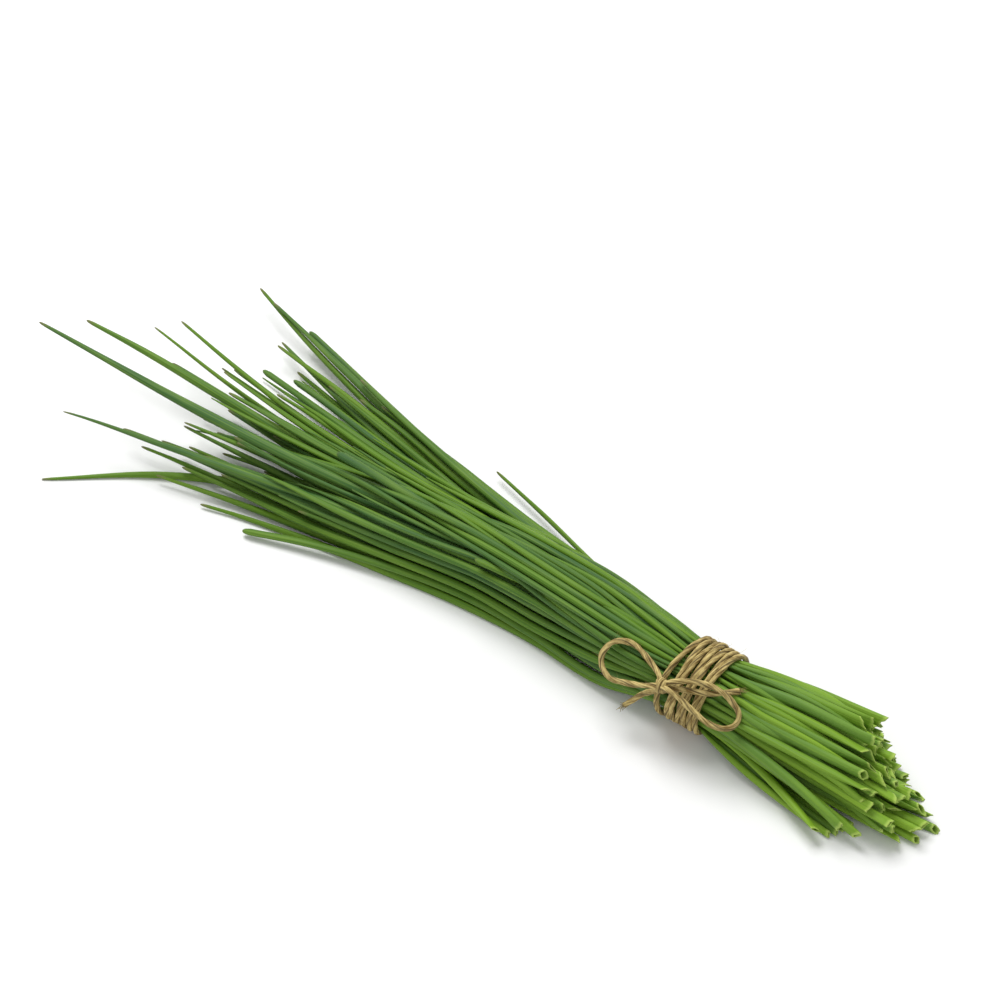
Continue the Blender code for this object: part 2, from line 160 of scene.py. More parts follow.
class Finish:
    def __init__(self, name, **settings):
        self.material = bpy.data.materials.new(name)
        self.material.use_nodes = True
        self.tree = self.material.node_tree
        self.shader = self.tree.nodes["Principled BSDF"]
        for key, value in settings.items():
            self.shader.inputs[key.replace("_", " ")].default_value = value

    def node(self, kind, inputs=(), **settings):
        made = self.tree.nodes.new(kind)
        for key, value in settings.items():
            setattr(made, key, value)
        for key, value in dict(inputs).items():
            if isinstance(value, bpy.types.NodeSocket):
                self.tree.links.new(value, made.inputs[key])
            else:
                made.inputs[key].default_value = value
        return made.outputs

    def mark(self, name):
        return self.node("ShaderNodeAttribute", attribute_name=name)["Fac"]

    def fade(self, value, low, high, start=0.0, end=1.0):
        ends = {"Value": value, "From Min": low, "From Max": high, "To Min": start, "To Max": end}
        return self.node("ShaderNodeMapRange", ends)["Result"]

    def mix(self, share, first, second):
        return self.node("ShaderNodeMix", {0: share, 6: first, 7: second}, data_type="RGBA")[2]

    def noise(self, scale, detail, stretch=None, where="UV"):
        places = self.node("ShaderNodeTexCoord")[where]
        if stretch:
            places = self.node("ShaderNodeMapping", {"Vector": places, "Scale": stretch})["Vector"]
        return self.node("ShaderNodeTexNoise", {"Vector": places, "Scale": scale, "Detail": detail})["Fac"]

    def output(self, **sockets):
        for key, socket in sockets.items():
            self.tree.links.new(socket, self.shader.inputs[key.replace("_", " ")])
        return self.material


# jute
jute = {
    "diameter": 1.5 * mm,
    "strands": 2,
    "layLength": 19 * mm,  # along the twine for one turn of its strands
    "strandSwell": 1.04,  # how far the strands bulge, over the radius
    "grooveDepth": 0.22,
    "grooveCurve": 1.5,
    "grooveShadeSharpness": 2.2,  # the higher, the narrower the line of painted shade in the grooves
    "thickSpots": ((0.06, 900), (0.04, 2300)),  # share of the radius, and how fast it comes and goes
    "sides": 20,
    "step": 0.36 * mm,
    "pale": (0.68, 0.54, 0.21, 1),
    "deep": (0.18, 0.11, 0.022, 1),
    # painted shade: a near-black colour laid into the grooves between the strands, where shade falls
    "grooveShade": (0.06, 0.036, 0.010, 1),
    "roughness": 0.85,
    "fibreStretch": (12, 200, 1),
    "fibreEdges": (0.38, 0.62),  # of the noise, from deep to pale
    "patchScale": 420.0,
    "deepPatches": (0.5, 0.68, 0.0, 0.5),  # from and to in the noise, then from and to in strength
    "palePatches": (0.46, 0.34, 0.0, 0.5),
    "bump": {"Strength": 0.9, "Distance": 0.0003},
}
juteFinish = Finish("jute", Roughness=jute["roughness"])
fibres = juteFinish.noise(1.0, 4.0, jute["fibreStretch"])
patches = juteFinish.noise(jute["patchScale"], 3.0, where="Object")
juteColour = juteFinish.mix(juteFinish.fade(fibres, *jute["fibreEdges"]), jute["deep"], jute["pale"])
juteColour = juteFinish.mix(juteFinish.fade(patches, *jute["deepPatches"]), juteColour, jute["deep"])
juteColour = juteFinish.mix(juteFinish.fade(patches, *jute["palePatches"]), juteColour, jute["pale"])
# painted shade in the grooves between the strands
juteColour = juteFinish.mix(juteFinish.mark("grooveShade"), juteColour, jute["grooveShade"])
juteBump = juteFinish.node("ShaderNodeBump", {"Height": fibres, **jute["bump"]})
juteMaterial = juteFinish.output(Base_Color=juteColour, Normal=juteBump["Normal"])


def twistedTwine(name, points, phase=0.0):
    line = evenLine(points, jute["step"])
    _, sides, tops = sidesAlong(line)
    lengths = lengthsAlong(line)
    (slow, slowRate), (quick, quickRate) = jute["thickSpots"]
    bm = bmesh.new()
    grooveShade = bm.verts.layers.float.new("grooveShade")

    def place(around, row):
        angle = 2 * math.pi * around
        twist = 2 * math.pi * lengths[row] / jute["layLength"] + phase
        hump = abs(math.cos(jute["strands"] / 2 * (angle - twist)))
        thicker = slow * math.sin(lengths[row] * slowRate + phase)
        thicker += quick * math.sin(lengths[row] * quickRate + 2 * angle)
        dip = jute["grooveDepth"] * (1 - hump) ** jute["grooveCurve"]
        size = jute["diameter"] / 2 * (jute["strandSwell"] - dip + thicker)
        spot = line[row] + size * (sides[row] * math.cos(angle) + tops[row] * math.sin(angle))
        # the mark is painted shade, strongest in the grooves between the strands
        return Vector(spot), max(0, 1 - jute["grooveShadeSharpness"] * hump)

    gridTube(bm, jute["sides"], len(line), [grooveShade], place)
    bmesh.ops.holes_fill(bm, edges=bm.edges[:], sides=jute["sides"])
    uv = bm.loops.layers.uv.verify()
    for face in bm.faces:
        for loop in face.loops:
            where = loop[uv].uv
            turned = where.x - where.y * lengths[-1] / jute["layLength"]  # the fibres follow the strands
            loop[uv].uv = (turned, where.y * lengths[-1])
    return finishMesh(bm, name, juteMaterial), line


# bow, in mm from the middle of the tie
bow = {
    "loopLeft": [
        (-7.4, -9.3, 19.7), (-9.0, -8.3, 19.8), (-10.7, -7.5, 19.9), (-12.5, -6.8, 20.1),
        (-14.2, -6.1, 20.3), (-16.0, -5.6, 20.5), (-17.9, -5.4, 20.6), (-19.7, -5.7, 20.5),
        (-21.4, -6.4, 20.2), (-22.7, -7.4, 19.6), (-23.4, -8.8, 18.7), (-23.6, -10.3, 17.7),
        (-23.1, -11.6, 16.6), (-22.0, -12.7, 15.7), (-20.6, -13.4, 15.0), (-18.8, -13.8, 14.6),
        (-17.0, -13.6, 14.7), (-15.1, -13.2, 15.1), (-13.3, -12.9, 15.5), (-11.4, -12.6, 16.2),
        (-9.6, -12.4, 17.1), (-8.0, -12.2, 18.0),
    ],
    "tailRight": [
        (-2.7, -10.6, 19.1), (-0.9, -9.9, 19.5), (1.8, -9.1, 19.9), (4.4, -8.3, 20.3),
        (6.9, -7.1, 20.4), (9.0, -5.5, 20.6), (11.1, -3.8, 20.8), (12.2, -2.9, 20.9),
    ],
    "loopRight": [
        (-3.1, -10.4, 21.2), (-2.0, -9.8, 21.7), (-0.5, -8.9, 22.0), (1.1, -8.2, 22.3),
        (2.8, -7.5, 22.4), (4.5, -7.1, 22.5), (6.2, -6.7, 22.5), (8.0, -6.5, 22.4),
        (9.8, -6.4, 21.9), (11.3, -6.4, 21.1), (12.9, -6.7, 20.2), (14.4, -7.1, 19.3),
        (15.4, -8.1, 18.3), (15.5, -9.4, 17.1), (14.7, -10.7, 16.3), (13.2, -11.7, 15.9),
        (11.5, -12.2, 15.8), (9.8, -12.5, 16.0), (8.0, -12.6, 16.4), (6.4, -12.5, 16.9),
        (4.7, -12.4, 17.5), (3.0, -12.3, 18.1), (1.4, -12.2, 18.8), (-0.3, -12.2, 19.5),
        (-2.6, -12.3, 20.2),
    ],
    "tailLeft": [
        (-6.9, -11.6, 16.1), (-8.2, -11.7, 14.8), (-9.6, -11.9, 13.4), (-10.9, -12.3, 11.8),
        (-12.0, -13.0, 10.3), (-13.0, -13.9, 9.1), (-13.8, -14.9, 8.3),
    ],
}
# each cord is a loop, a way through the knot and the tail on the other side
cordRoutes = {
    "cordLeftLoop": (
        [(-5.6, -10.7, 19.2)] + bow["loopLeft"] + [(-5.3, -11.4, 18.7)] + bow["tailRight"],
        ("bow_loop_left", "bow_tail_right"),
    ),
    "cordRightLoop": (
        [(-4.9, -11.3, 19.9)] + bow["loopRight"]
        + [(-4.7, -12.2, 19.5), (-6.0, -12.0, 18.0)] + bow["tailLeft"],
        ("bow_loop_right", "bow_tail_left"),
    ),
}
for name, (points, nodes) in cordRoutes.items():
    piece, line = twistedTwine(name, fromTie(points), phase=len(points))
    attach(piece, "root")
    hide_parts(*nodes)
print("bow cords made")


# knot: a short coil round the place where the loops cross
knot = {
    "radius": 1.35,
    "pitch": 1.2,
    "turns": 1.9,
    "startTurn": 2.4,
    "axis": (0.93, 0.28, 0.19),
    "points": 40,
    "endsDrawnIn": 0.25,
}
knotAxis = Vector(knot["axis"]).normalized()
knotSide = knotAxis.cross((0, 0, 1)).normalized()
knotTop = knotSide.cross(knotAxis)
knotPoints = []
for step in range(knot["points"]):
    share = step / (knot["points"] - 1) - 0.5
    angle = 2 * math.pi * knot["turns"] * share + knot["startTurn"]
    along = knotAxis * knot["pitch"] * knot["turns"] * share
    swing = knot["radius"] * (1 - knot["endsDrawnIn"] * abs(share * 2) ** 3)
    knotPoints.append(knotMiddle + along + swing * (knotSide * math.cos(angle) + knotTop * math.sin(angle)))
knotPiece, _ = twistedTwine("knot", fromTie(knotPoints), phase=1.0)
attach(knotPiece, "root")
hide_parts("bow_knot")
print("knot made")


# turns round the tie, in mm from its middle
tie = {
    "halfWidth": 10.1,  # of the leaves inside it
    "halfHeight": 9.1,
    "gap": 0.35,  # between them and the string
    "string": 1.5,
}
tieHeight = tie["halfHeight"] + tie["gap"] + tie["string"]  # of its middle over the table
wrap = {
    "turns": 6.9,
    "pointsPerTurn": 36,
    "pitch": 1.68,
    "startDegrees": 235,
    "stray": 1.3,
    "strayTurn": 0.46,  # the first turn has come back to the others by here
    "endX": 6.1,
    "wander": (0.30, 0.4, 9.3),  # along x: how far, a turn where it is nil, and how fast it changes
    "pileAt": 3.4,  # the turn that lies highest on its neighbours
    "pile": 0.45,  # how high, on top
    "pileTurns": 1.6,  # and over how many turns to each side it falls to nothing
    "lift": (0.15, 14.7),  # how far other places stand off on top, and how fast that changes
}
halfWidth = tie["halfWidth"] + tie["gap"] + tie["string"] / 2
halfHeight = tie["halfHeight"] + tie["gap"] + tie["string"] / 2
wander, wanderFrom, wanderRate = wrap["wander"]
lift, liftRate = wrap["lift"]
wrapPoints = []
for step in range(int(wrap["turns"] * wrap["pointsPerTurn"]) + 1):
    turned = step / wrap["pointsPerTurn"]
    angle = math.radians(wrap["startDegrees"] - 360 * turned)
    stray = wrap["stray"] * math.sin(math.pi * min(turned / wrap["strayTurn"], 1))
    x = wrap["endX"] - (wrap["turns"] - turned) * wrap["pitch"] - stray
    x += wander * math.sin((turned - wanderFrom) * wanderRate)
    onTop = max(0, math.sin(angle))
    wider = wrap["pile"] * onTop * max(0, 1 - abs(turned - wrap["pileAt"]) / wrap["pileTurns"])
    wider += lift * (1 + math.sin(turned * liftRate)) * onTop
    y = (halfWidth + wider) * math.cos(angle)
    z = tieHeight + (halfHeight + wider) * math.sin(angle)
    wrapPoints.append((x, y, z))
wrapPiece, _ = twistedTwine("wrap", fromTie(wrapPoints))
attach(wrapPiece, "root")
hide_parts("twine_wrap")
print("wrap made")


# leaves
leafLook = {
    "green": (0.110, 0.230, 0.012, 1),
    "light": (0.190, 0.320, 0.036, 1),
    "deep": (0.046, 0.122, 0.030, 1),
    "cutEnd": (0.315, 0.535, 0.036, 1),
    "cutShaded": (0.235, 0.430, 0.042, 1),
    "rim": (0.600, 0.760, 0.180, 1),
    "dryTip": (0.200, 0.170, 0.080, 1),
    "hollow": (0.120, 0.240, 0.012, 1),
    "roughness": 0.5,
    "specular": 0.2,
    "veinStretch": (22, 14, 1),
    "cloudStretch": (3, 55, 1),
    "shades": (0.1, 0.9),  # of the leaf's own mark, from deep to green
    "cutShades": (0.1, 0.7),
    # from and to in the noise or in mm from the end, then from and to in strength
    "lightClouds": (0.42, 0.72, 0, 0.5),
    "lightVeins": (0.5, 0.68, 0, 0.45),
    "deepVeins": (0.5, 0.32, 0, 0.7),
    "paleToCut": (70, 2, 0, 0.5),
    "rimReach": (1.0, 0.1, 0, 0.6),
    "dryReach": (3.5, 0.3, 0, 0.75),
    "bump": {"Strength": 0.5, "Distance": 0.0003},
}
leafFinish = Finish("leaf", Roughness=leafLook["roughness"], Specular_IOR_Level=leafLook["specular"])
veins = leafFinish.noise(1.0, 3.0, leafLook["veinStretch"])
cloud = leafFinish.noise(1.0, 2.0, leafLook["cloudStretch"])
shade = leafFinish.mark("shade")
fromCut, fromTip = leafFinish.mark("fromCut"), leafFinish.mark("fromTip")


def leafFade(value, key):
    return leafFinish.fade(value, *leafLook[key])


leafColour = leafFinish.mix(leafFade(shade, "shades"), leafLook["deep"], leafLook["green"])
cutColour = leafFinish.mix(leafFade(shade, "cutShades"), leafLook["cutShaded"], leafLook["cutEnd"])
leafColour = leafFinish.mix(leafFade(cloud, "lightClouds"), leafColour, leafLook["light"])
leafColour = leafFinish.mix(leafFade(veins, "lightVeins"), leafColour, leafLook["light"])
leafColour = leafFinish.mix(leafFade(veins, "deepVeins"), leafColour, leafLook["deep"])
leafColour = leafFinish.mix(leafFade(fromCut, "paleToCut"), leafColour, cutColour)
leafColour = leafFinish.mix(leafFade(fromCut, "rimReach"), leafColour, leafLook["rim"])
leafColour = leafFinish.mix(leafFade(fromTip, "dryReach"), leafColour, leafLook["dryTip"])
leafColour = leafFinish.mix(leafFinish.mark("inside"), leafColour, leafLook["hollow"])
leafBump = leafFinish.node("ShaderNodeBump", {"Height": veins, **leafLook["bump"]})
leafMaterial = leafFinish.output(Base_Color=leafColour, Normal=leafBump["Normal"])

leafForm = {
    "sides": 14,
    "rowEvery": 3.0 * mm,
    "rowsNearCut": (0.3, 0.8, 1.6),  # in mm from the cut
    "rowsNearTip": (2.0, 1.1, 0.5, 0.2),
    "wall": 0.32 * mm,
    "bore": ((7.0, 0.55), (3.0, 0.9), (0.4, 1.0), (0.0, 1.0)),  # depth in mm and share of the full bore
    "flatTable": 0.03 * mm,
    "bluntFrom": 0.95 * mm,  # a tip thicker than this was cut, and isn't dry
    "freshTip": 2.4,  # in mm, how much further off the point of a blunt or thin leaf counts as
    "pointLength": 0.7 * mm,
    "pointRadius": 0.25,
    "swells": ((0.03, 90), (0.02, 260)),  # share of the radius, and how fast it comes and goes
    "flat": 0.2,  # how much less than round the section is
    "squash": (0.05, 0.7),  # drawn for each leaf: how much flatter it is at the mouth
    "squashReach": 11 * mm,
    "across": 0.94,  # half its width, over the radius
    "flatWidens": 0.25,  # what flatness adds to that
    "twist": 8,  # radians in a metre
    "slant": (0.2, 1.3),  # drawn for each leaf: how far the cut leans, over the radius
    "raggedness": 0.11,
    "cutReach": 2.5 * mm,  # how far from the cut that still shows
    "firstSeed": 100,
    "veinShift": 3.7,  # no two leaves share veins
}
thinFrom = 60  # the number from which leaves are thin ones


# the middle and radius of each ring of a plain leaf, without those of its bore
def leafRings(node, ringsApart=0.02 * mm, boreDepth=5.5 * mm, boreStep=0.4 * mm):
    spots = sorted((tuple(vert.co) for vert in node.data.vertices), reverse=True)
    rings = []
    for spot in spots:
        if not rings or rings[-1][0][0] - spot[0] > ringsApart:
            rings.append([])
        rings[-1].append(spot)
    found = []
    for ring in rings:
        centre = np.mean(sorted(set(map(tuple, np.round(ring, 7)))), axis=0)
        radius = np.linalg.norm(np.array(ring) - centre, axis=1).max()
        found.append((centre, radius))
    mouth, mouthRadius = found[0]
    kept = [found[0]]
    for centre, radius in found[1:]:
        inBore = mouth[0] - centre[0] < boreDepth and radius < mouthRadius - boreStep
        if not inBore:
            kept.append((centre, radius))
    return kept


def makeLeaf(name, number, centres, radii):
    fresh = radii[-2] > leafForm["bluntFrom"] or number >= thinFrom
    keys = -centres[:, 0]
    spans = int((keys[-1] - keys[0]) / leafForm["rowEvery"])
    at = np.linspace(keys[0], keys[-1], spans + 1)
    nearCut = keys[0] + np.array(leafForm["rowsNearCut"]) * mm
    nearTip = keys[-1] - np.array(leafForm["rowsNearTip"]) * mm
    at = np.sort(np.concatenate([at, nearCut, nearTip]))
    line = smoothThrough(keys, centres, at)
    sizes = np.interp(at, keys, radii)
    lengths = lengthsAlong(line)
    full = lengths[-1]
    ahead, sides, tops = sidesAlong(line)
    draw = random.Random(leafForm["firstSeed"] + number)
    shadeOf, roll = draw.random(), draw.uniform(0, math.pi)
    squash, slant = draw.uniform(*leafForm["squash"]), draw.uniform(*leafForm["slant"])
    slantAt = draw.uniform(0, 2 * math.pi)
    waves = [draw.uniform(0, 6) for _ in range(2)]
    (slow, slowRate), (quick, quickRate) = leafForm["swells"]
    bore = leafForm["bore"]
    bm = bmesh.new()
    layers = [bm.verts.layers.float.new(name) for name in ("fromCut", "fromTip", "inside", "shade")]

    def place(around, row):
        inner = row < len(bore)
        depth = bore[row][0] * mm if inner else 0
        at = int(np.searchsorted(lengths, depth)) if inner else row - len(bore)
        along = depth if inner else lengths[at]
        centre = line[at]
        if inner:
            centre = np.array([np.interp(depth, lengths, line[:, axis]) for axis in range(3)])
        size = sizes[at]
        toTip = full - along
        size *= min(1, leafForm["pointRadius"] + toTip / leafForm["pointLength"]) ** 0.5
        swell = slow * math.sin(along * slowRate + waves[0])
        size *= 1 + swell + quick * math.sin(along * quickRate + waves[1])
        if inner:
            size = (size - leafForm["wall"]) * bore[row][1]
        # flat in section, and flatter towards the mouth
        nearMouth = max(0, 1 - along / leafForm["squashReach"])
        flat = leafForm["flat"] + squash * nearMouth**1.5
        angle = 2 * math.pi * around
        across = (leafForm["across"] + flat * leafForm["flatWidens"]) * math.cos(angle)
        over = (1 - flat) * math.sin(angle)
        turned = roll + along * leafForm["twist"]
        a = across * math.cos(turned) - over * math.sin(turned)
        b = across * math.sin(turned) + over * math.cos(turned)
        spot = centre + size * (sides[at] * a + tops[at] * b)
        # the cut is slanted and ragged
        lean = slant * (a * math.cos(slantAt) + b * math.sin(slantAt)) * size
        ragged = math.sin(3 * angle + waves[0]) + math.sin(5 * angle + waves[1])
        lean += leafForm["raggedness"] * size * ragged
        spot = spot + ahead[at] * lean * max(0, 1 - along / leafForm["cutReach"])
        spot[2] = max(spot[2], leafForm["flatTable"])
        inside = min(1, depth / mm)
        tipMark = toTip / mm + (leafForm["freshTip"] if fresh else 0)
        return Vector(spot), along / mm, tipMark, inside, shadeOf

    gridTube(bm, leafForm["sides"], len(bore) + len(line), layers, place)
    bmesh.ops.holes_fill(bm, edges=bm.edges[:], sides=leafForm["sides"])
    uv = bm.loops.layers.uv.verify()
    for face in bm.faces:
        for loop in face.loops:
            where = loop[uv].uv
            loop[uv].uv = (where.x + number * leafForm["veinShift"], where.y * full + number)
    return finishMesh(bm, name, leafMaterial)


leafNodes = sorted(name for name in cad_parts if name.startswith("chive_leaf"))
leafShapes = []
for number, name in enumerate(leafNodes):
    rings = leafRings(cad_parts[name])
    centres = np.array([centre for centre, _ in rings])
    radii = np.array([radius for _, radius in rings])
    leafShapes.append((centres, radii))
    piece = makeLeaf(name.replace("chive_leaf", "leaf"), number, centres, radii)
    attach(piece, "root")
    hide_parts(name)
print("leaves made", len(leafNodes))


# thin leaves in the grooves between the others, in mm from the middle of the tie
thin = {
    "long": 26,
    "short": 16,  # these end inside the tie
    "edge": 4,  # these too, and they bend out on the near side
    "stations": (64, -172, -4),  # x of the first, past the last, and from one to the next
    "radius": (0.75, 1.0),
    "tiedRadius": 0.42,  # inside the tie
    "leastRadius": 0.22,  # at the tips
    "tieEnds": 7,  # x of the tie's ends, to both sides
    "growOver": 11,  # beyond the tie's end they reach their full radius over this
    "cutSide": 1.1,  # how much thicker they are on the side of the cut
    "tips": (-165, -95),  # x of the long ones'
    "shortTip": -7.0,
    "taper": 25,  # how far from their tips the long ones get thinner
    "cutVaries": (-2.0, 0.5),  # along x, from the cut of the others that are nearest
    "pastCut": 2,  # how far past its cut another leaf still counts as there
    "fanQuantiles": (0.06, 0.94),  # of the others, taken as the fan's sides
    "fanClearTo": -112,  # from here on towards the tips the fan's sides are ragged
    "fanShare": 0.86,  # how much of the fan's width the long ones take up
    "fanShift": -0.1,  # and how far they are shifted, over half that width
    "tieFill": 0.9,  # how far out in the tie the short ones are
    "ring": (5, 90),  # every other short one lies along this arc in degrees, just inside the string
    "edgePlace": (-0.93, -3.4),  # share of the tie's half width, and mm above its middle
    "spread": (0.7, 3.4, 1.35),  # of the short ones at the cut: share of their place across, shift and power
    "rise": 0.1,  # of the short ones on their way to the cut, as a share of their height
    "edgeSpread": (0.2, 1.3, 1.9),  # of the bent ones: shift, shift for each in turn and power
    "edgeFall": 24,  # they are down on the table by here
    "edgeCuts": (52, -1.3),  # where they are cut, and what each in turn adds
}
settling = {
    "steps": 240,
    "calm": 18,  # the last steps, which only smooth
    "softUntil": 0.7,  # share of the steps
    "sink": 0.05,  # in the first step, and less in each
    "straighten": (0.2, 0.25),  # in every step, and more while soft
    "push": 0.45,  # share of each overlap
    "proud": ((-45, -18, -8, 9, 17, 45), (8, 0.5, 5, 5, 0, 0.5)),  # in radii above the others, along x
    "beside": 2.5,  # a leaf this far past another's side may lie as high as that one's middle
    "leastHeight": 3,  # from which "proud" counts where the others are lower
}
cutMiddle = 62  # x of the middle of the cut ends
farOff = 1e4  # where a leaf is put at the stations that it doesn't reach
thinRoom = np.array([tie["halfWidth"], tie["halfHeight"]])  # round the tie's middle
stations = np.arange(*thin["stations"], dtype=float)
cutStation = 5  # the first from the cut where all but one of the others are there


def atStations(keys, values):
    return np.interp(-stations, -keys, values)


olds = np.full((len(leafShapes), len(stations), 3), (farOff, farOff, 0))  # y, z and radius
oldCuts = []
for row, (centres, radii) in enumerate(leafShapes):
    spots = (centres - np.array(tieMiddle)) / mm
    across = [atStations(spots[:, 0], spots[:, 1]), atStations(spots[:, 0], spots[:, 2])]
    filled = np.stack(across + [atStations(spots[:, 0], radii / mm)], axis=1)
    present = (stations <= spots[0, 0] + thin["pastCut"]) & (stations >= spots[-1, 0])
    olds[row, present] = filled[present]
    oldCuts.append((*filled[cutStation, :2], spots[0, 0]))
oldCuts = np.array(oldCuts)
oldPlaces, oldSizes = olds[None, :, :, :2], olds[None, :, :, 2]


# the height at which a leaf would lie on top of the others
def topAt(station, y, radius):
    beside = olds[:, station]
    gap = np.abs(beside[:, 0] - y)
    reach = beside[:, 2] + radius
    tops = np.where(gap < reach, beside[:, 1] + np.sqrt(np.maximum(reach**2 - gap**2, 0)), radius)
    return tops.max()


# the fan's sides at each station, carried on straight past the clear ones
fanFrom = int(np.argmin(np.abs(stations - thin["fanClearTo"])))
clear = np.arange(cutStation, fanFrom)
clearSides = [np.quantile(olds[olds[:, at, 0] < farOff / 10, at, 0], thin["fanQuantiles"]) for at in clear]
farStations = (-100, 200)  # well past both ends
slopeOver = (5, 7)  # how many clear stations give the slope at the cut's end and at the tips'
fanSides = smoothThrough(
    np.array([farStations[0], *clear, farStations[1]]),
    np.array([
        clearSides[0]
        + (cutStation - farStations[0]) * (clearSides[0] - clearSides[slopeOver[0]]) / slopeOver[0],
        *clearSides,
        clearSides[-1]
        + (farStations[1] - clear[-1]) * (clearSides[-1] - clearSides[-1 - slopeOver[1]]) / slopeOver[1],
    ]),
    np.arange(len(stations)),
)

thinCount = thin["long"] + thin["short"] + thin["edge"]
firstEdge = thinCount - thin["edge"]


def placeInTie(row):
    middle = np.array([0.0, tieHeight])
    if row < thin["long"]:
        return middle
    angle, out = chance.uniform(0, 2 * math.pi), thin["tieFill"] * math.sqrt(chance.random())
    if row >= firstEdge:
        across, up = thin["edgePlace"]
        return np.array([across * thinRoom[0], tieHeight + up])
    if row % 2:
        angle, out = math.radians(np.interp(row, (thin["long"], firstEdge), thin["ring"])), 1
    return middle + out * thinRoom * (math.cos(angle), math.sin(angle))


def layOut(row, place, sizes):
    share = (row + 0.5) / thin["long"] * 2 - 1
    spots = np.zeros((len(stations), 2))
    for station, x in enumerate(stations):
        toCut = max(x, 0) / cutMiddle
        if row < thin["long"]:
            near, far = fanSides[station]
            y = (near + far) / 2 + (thin["fanShare"] * share + thin["fanShift"]) * (far - near) / 2
            z = topAt(station, y, sizes[station])
        elif row < firstEdge:
            more, shift, power = thin["spread"]
            y = place[0] + (place[0] * more + shift) * toCut**power
            z = place[1] * (1 + thin["rise"] * toCut)
        else:
            shift, shiftEach, power = thin["edgeSpread"]
            y = place[0] - (shift + shiftEach * (thinCount - row)) * toCut**power
            z = max(place[1] * (1 - max(x, 0) / thin["edgeFall"]), 1)
        spots[station] = y, z
    return spots


thinSpots, thinSizes, thinTips = [], [], []
grown = np.clip((np.abs(stations) - thin["tieEnds"]) / thin["growOver"], 0, 1) ** 0.5
for row in range(thinCount):
    full = np.where(stations > 0, thin["cutSide"], 1) * chance.uniform(*thin["radius"])
    thinTips.append(chance.uniform(*thin["tips"]) if row < thin["long"] else thin["shortTip"])
    thinSizes.append(thin["tiedRadius"] + (full - thin["tiedRadius"]) * grown)
    thinSpots.append(layOut(row, placeInTie(row), thinSizes[-1]))
thinSpots, thinSizes, thinTips = np.array(thinSpots), np.array(thinSizes), np.array(thinTips)
print("thin leaves laid out")

alive = stations[None] >= thinTips[:, None] - 1
nearTie = np.abs(stations) < thin["tieEnds"]
proud = np.interp(stations, *settling["proud"])
itself = np.eye(thinCount, dtype=bool)[:, :, None]
for step in range(settling["steps"]):
    softness = max(0, 1 - step / (settling["softUntil"] * settling["steps"]))
    push = settling["push"] if step < settling["steps"] - settling["calm"] else 0
    thinSpots[..., 1] -= settling["sink"] * softness * ~nearTie
    inner = (thinSpots[:, :-2] + thinSpots[:, 2:]) / 2 - thinSpots[:, 1:-1]
    always, whileSoft = settling["straighten"]
    thinSpots[:, 1:-1] += (always + whileSoft * softness) * inner
    for places, sizes, hidden in (
        (oldPlaces, oldSizes, False),
        (thinSpots[None], thinSizes[None], itself | ~alive[None]),
    ):
        apart = thinSpots[:, None] - places
        distance = np.sqrt((apart**2).sum(-1)) + 1e-9
        depth = np.where(hidden, 0, np.maximum(thinSizes[:, None] + sizes - distance, 0))
        thinSpots += push * ((depth / distance)[..., None] * apart).sum(axis=1)
    # no higher than the others allow, and no lower than the table
    gap = np.abs(thinSpots[:, None, :, 0] - oldPlaces[..., 0])
    humps = oldPlaces[..., 1] + np.sqrt(np.maximum(oldSizes**2 - gap**2, 0))
    surface = np.where(gap < oldSizes + settling["beside"], humps, 0).max(axis=1)
    ceiling = np.maximum(surface, settling["leastHeight"]) + proud * thinSizes
    thinSpots[..., 1] = np.maximum(np.minimum(thinSpots[..., 1], ceiling), thinSizes)
    # between the fan's sides, and inside the string
    thinSpots[:firstEdge, :, 0] = np.clip(thinSpots[:firstEdge, :, 0], fanSides[:, 0], fanSides[:, 1])
    room = (thinSpots - [0, tieHeight]) / thinRoom
    beyond = np.maximum(np.sqrt((room**2).sum(-1)), 1)[..., None]
    pulled = [0, tieHeight] + room / beyond * thinRoom
    thinSpots = np.where(nearTie[None, :, None], pulled, thinSpots)
print("thin leaves settled")

edgeCut, edgeCutEach = thin["edgeCuts"]
for row in range(thinCount):
    # cut no further out than the three others that are nearest
    nearest = np.argsort(((oldCuts[:, :2] - thinSpots[row, cutStation]) ** 2).sum(axis=1))[:3]
    cutX = oldCuts[nearest, 2].min() + chance.uniform(*thin["cutVaries"])
    if row >= firstEdge:
        cutX = edgeCut + edgeCutEach * (thinCount - row)
    tipX = thinTips[row]
    keep = (stations < cutX - 1) & (stations > tipX + 1)
    xs = np.concatenate([[cutX], stations[keep], [tipX + 1, tipX]])
    ys = np.interp(-xs, -stations, thinSpots[row, :, 0])
    zs = np.interp(-xs, -stations, thinSpots[row, :, 1])
    tapering = np.clip((xs - tipX) / thin["taper"], 0, 1) ** 0.5 if row < thin["long"] else 1
    sizes = np.maximum(np.interp(-xs, -stations, thinSizes[row]) * tapering, thin["leastRadius"]) * mm
    line = fromTie(np.stack([xs, ys, zs], axis=1))
    piece = makeLeaf(f"thinLeaf{row + 1:02d}", thinFrom + row, line, sizes)
    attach(piece, "root")
print("thin leaves made", thinCount)


# stray fibres of the jute
fibre = {"sides": 3, "points": (0, 0.25, 0.5, 0.75, 1), "curl": 0.5, "taper": 0.15, "lowest": 0.05 * mm}
fuzz = {
    "count": 150,
    "thickness": 0.035 * mm,
    "length": (0.7 * mm, 2.6 * mm),
    "lowest": 6 * mm,
    "from": 0.6 * mm,  # from the middle of the twine
}


def anyWay():
    return Vector([chance.gauss(0, 1) for _ in range(3)])


